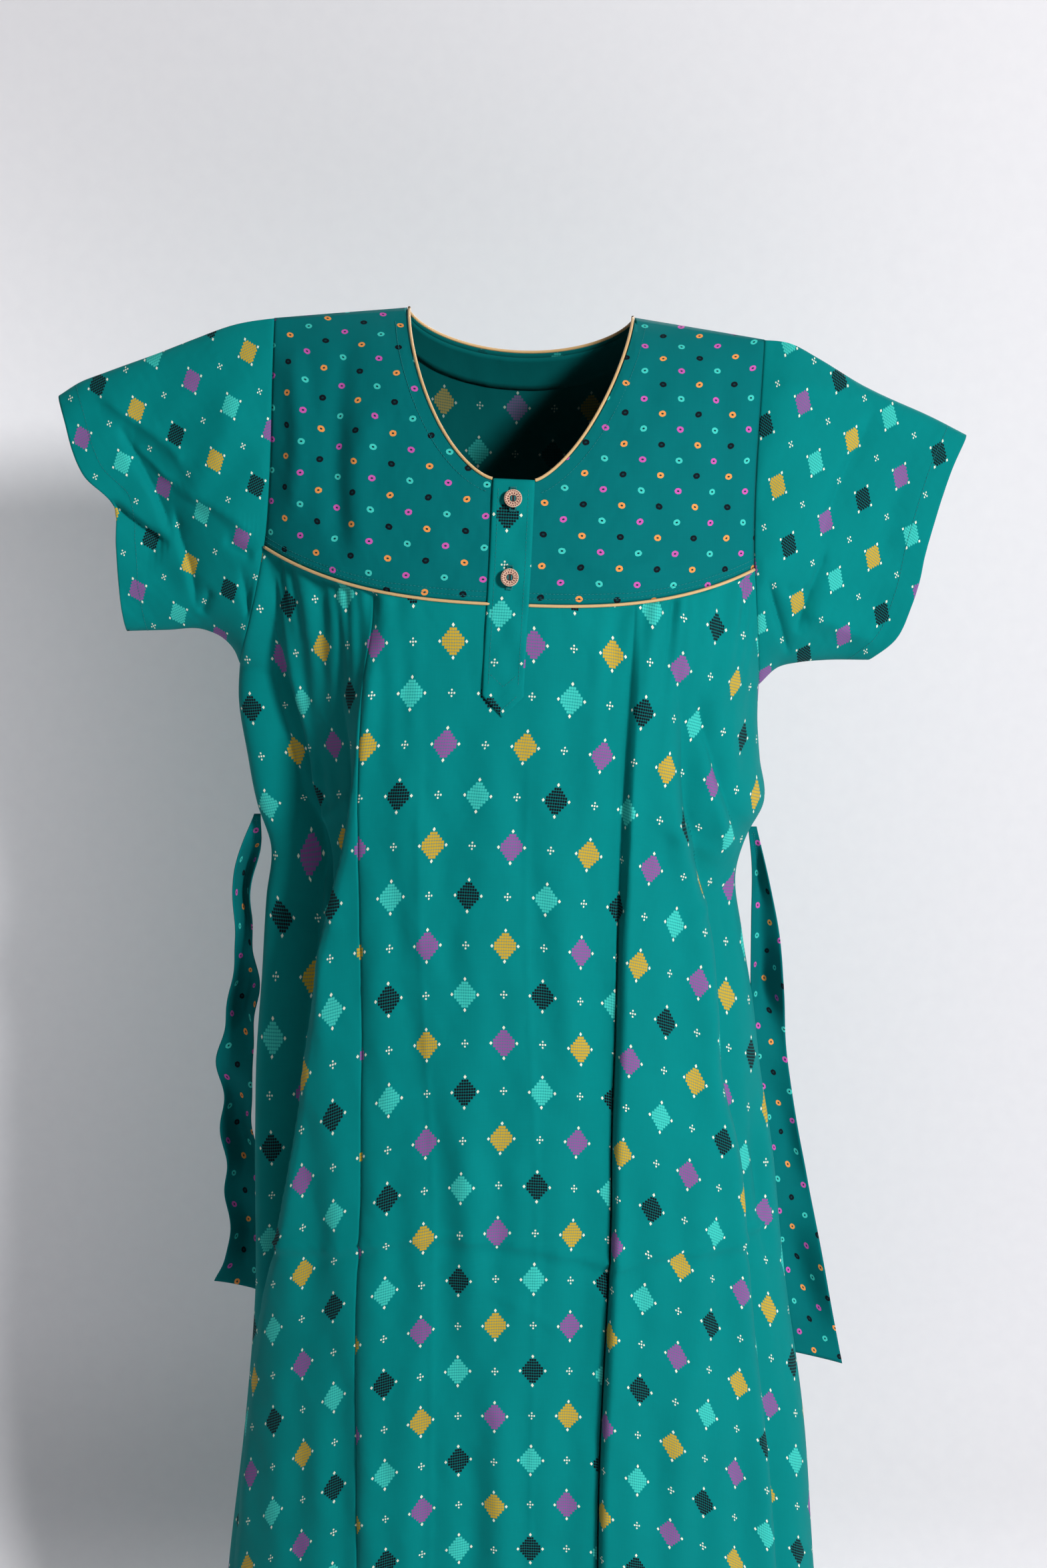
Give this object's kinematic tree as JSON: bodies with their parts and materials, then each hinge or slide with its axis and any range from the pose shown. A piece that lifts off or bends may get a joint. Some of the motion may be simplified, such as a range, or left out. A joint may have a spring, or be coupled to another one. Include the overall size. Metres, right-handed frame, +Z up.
{
  "type": "nightgown",
  "caption": "Short-sleeved pull-on cotton nightgown with a piped yoke, buttoned placket and waist ties, shown hanging as worn.",
  "frame": {"origin": "midway between the neck ends of the two shoulder seams, where the gown rests on a pair of shoulders or a hanger", "axes": "+Z up along the hanging gown, -Y out of its front, +X to the viewer's right when facing the front"},
  "size_m": [0.8005, 0.2706, 1.374],
  "materials": {
    "diamond_cotton": "plain-weave printed cotton with small diamonds",
    "ring_cotton": "plain-weave printed cotton with small rings",
    "inner_cotton": "reverse side of the cotton",
    "piping_satin": "gold satin bias cord",
    "button_resin": "cream resin with dark engraved dashes",
    "sewing_thread": "teal polyester thread"
  },
  "bodies": {
    "gown": {"yoke_front_left": "ring_cotton", "yoke_front_right": "ring_cotton", "front_panel": "diamond_cotton", "back_panel": "diamond_cotton", "placket_overlap": "diamond_cotton", "placket_underlap": "diamond_cotton", "buttonhole_stitches": "sewing_thread", "neck_piping": "piping_satin", "yoke_piping_left": "piping_satin", "yoke_piping_right": "piping_satin", "neck_facing_front": "inner_cotton", "neck_facing_back": "inner_cotton", "shoulder_seam_left": "inner_cotton", "shoulder_seam_right": "inner_cotton", "armhole_seam_left": "inner_cotton", "armhole_seam_right": "inner_cotton", "side_seam_left": "inner_cotton", "side_seam_right": "inner_cotton", "hem_front": "inner_cotton", "hem_back": "inner_cotton", "tie_tack_left": "sewing_thread", "tie_tack_right": "sewing_thread"},
    "left_sleeve": {"sleeve_left": "diamond_cotton", "sleeve_hem_left": "inner_cotton"},
    "right_sleeve": {"sleeve_right": "diamond_cotton", "sleeve_hem_right": "inner_cotton"},
    "left_tie": {"tie_left": "ring_cotton"},
    "right_tie": {"tie_right": "ring_cotton"},
    "upper_button": {"button_upper": "button_resin", "button_thread_upper": "sewing_thread"},
    "lower_button": {"button_lower": "button_resin", "button_thread_lower": "sewing_thread"}
  },
  "joints": [
    {"name": "sleeve_left_swing", "type": "hinge", "parent": "gown", "child": "left_sleeve", "pos_m": [-0.2316, 0, -0.1522], "axis": [0.0944, 0, 0.9955], "range_deg": [-20, 25], "stiffness_Nm_per_rad": 0.02},
    {"name": "sleeve_right_swing", "type": "hinge", "parent": "gown", "child": "right_sleeve", "pos_m": [0.2174, 0, -0.1718], "axis": [0.007, 0, -1], "range_deg": [-20, 25], "stiffness_Nm_per_rad": 0.02},
    {"name": "tie_left_swing", "type": "hinge", "parent": "gown", "child": "left_tie", "pos_m": [-0.2524, 0.005, -0.4435], "axis": [1, 0, 0], "range_deg": [0, 80]},
    {"name": "tie_right_swing", "type": "hinge", "parent": "gown", "child": "right_tie", "pos_m": [0.2196, 0.005, -0.4605], "axis": [1, 0, 0], "range_deg": [0, 80]},
    {"name": "button_upper_tilt", "type": "hinge", "parent": "gown", "child": "upper_button", "pos_m": [-0.0064, -0.1072, -0.146], "axis": [0.999, 0, -0.0436], "range_deg": [-8, 8], "stiffness_Nm_per_rad": 0.002},
    {"name": "button_lower_tilt", "type": "hinge", "parent": "gown", "child": "lower_button", "pos_m": [-0.0092, -0.1174, -0.21], "axis": [0.999, 0, -0.0436], "range_deg": [-8, 8], "stiffness_Nm_per_rad": 0.002}
  ]
}
